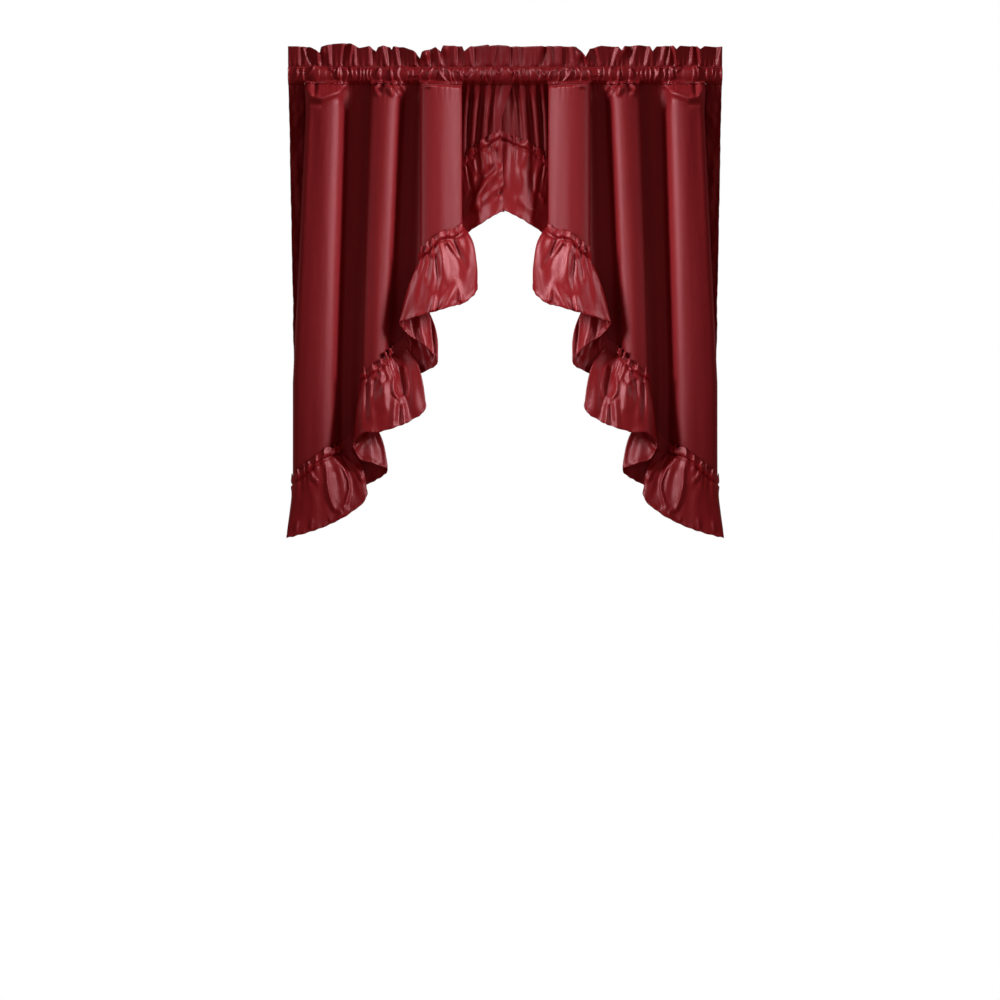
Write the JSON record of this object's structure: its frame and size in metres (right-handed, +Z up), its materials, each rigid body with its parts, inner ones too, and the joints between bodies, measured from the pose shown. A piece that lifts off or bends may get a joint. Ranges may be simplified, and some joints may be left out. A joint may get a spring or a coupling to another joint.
{
  "type": "swag and tail drape",
  "caption": "Pair of gathered satin swag and tail curtain panels with a rod pocket, a ruffled heading and a gathered ruffle along the arched lower edge.",
  "frame": {"origin": "on the axis of the rod pocket, halfway between the two outer edges", "axes": "+X to the viewer's right, +Z up, -Y towards the room and +Y towards the window"},
  "size_m": [0.8476, 0.0918, 0.9644],
  "materials": {
    "satin_panel": "burgundy polyester satin, soft sheen",
    "satin_ruffle": "burgundy polyester satin, soft sheen, narrow stitched hem",
    "satin_pocket": "burgundy polyester satin, tightly gathered",
    "satin_heading": "burgundy polyester satin, folded double and ruffled"
  },
  "bodies": {
    "root": {"left_panel": "satin_panel", "right_panel": "satin_panel", "left_ruffle": "satin_ruffle", "right_ruffle": "satin_ruffle", "left_rod_pocket": "satin_pocket", "right_rod_pocket": "satin_pocket", "left_heading": "satin_heading", "right_heading": "satin_heading"}
  },
  "joints": []
}
